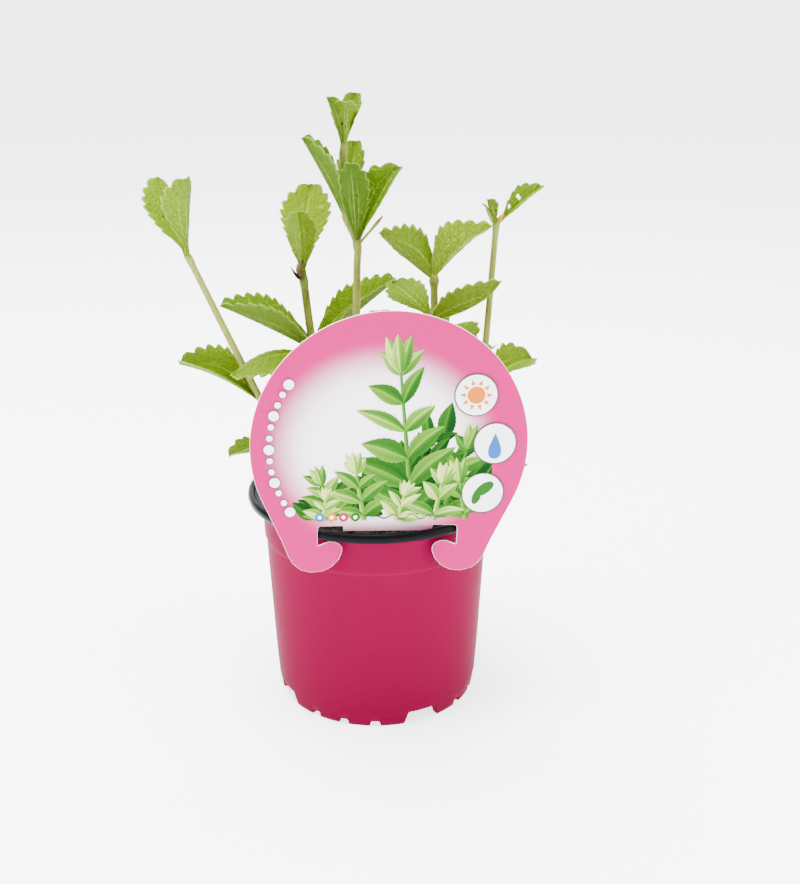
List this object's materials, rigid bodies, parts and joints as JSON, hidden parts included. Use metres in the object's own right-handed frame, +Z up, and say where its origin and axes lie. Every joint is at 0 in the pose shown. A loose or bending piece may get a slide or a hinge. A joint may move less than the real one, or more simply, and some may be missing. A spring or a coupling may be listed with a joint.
{
  "type": "potted herb plant",
  "caption": "Young stevia plant with upright leafy stems and toothed leaves in a thin round plastic pot, with a round card hooked over the pot's rim at the front.",
  "frame": {"origin": "middle of the object's overall box, on the surface its feet stand on", "axes": "+Z up; the card is on the -Y side; +X to the right as seen from the card's side; the pot's axis stands 11.5 mm to +X and 0.65 mm to -Y of the origin"},
  "size_m": [0.1551, 0.1063, 0.2438],
  "materials": {
    "pot_plastic": "satin magenta thermoformed sheet, black inside and on its rim",
    "peat": null,
    "card": "printed card, pink with a pale middle",
    "leaf_green": null
  },
  "bodies": {
    "root": {"pot": "pot_plastic", "soil": "peat", "label_card": "card", "shoot_1": "leaf_green", "shoot_2": "leaf_green", "shoot_3": "leaf_green", "shoot_4": "leaf_green", "shoot_5": "leaf_green", "shoot_6": "leaf_green", "shoot_7": "leaf_green", "shoot_8": "leaf_green"}
  },
  "joints": []
}
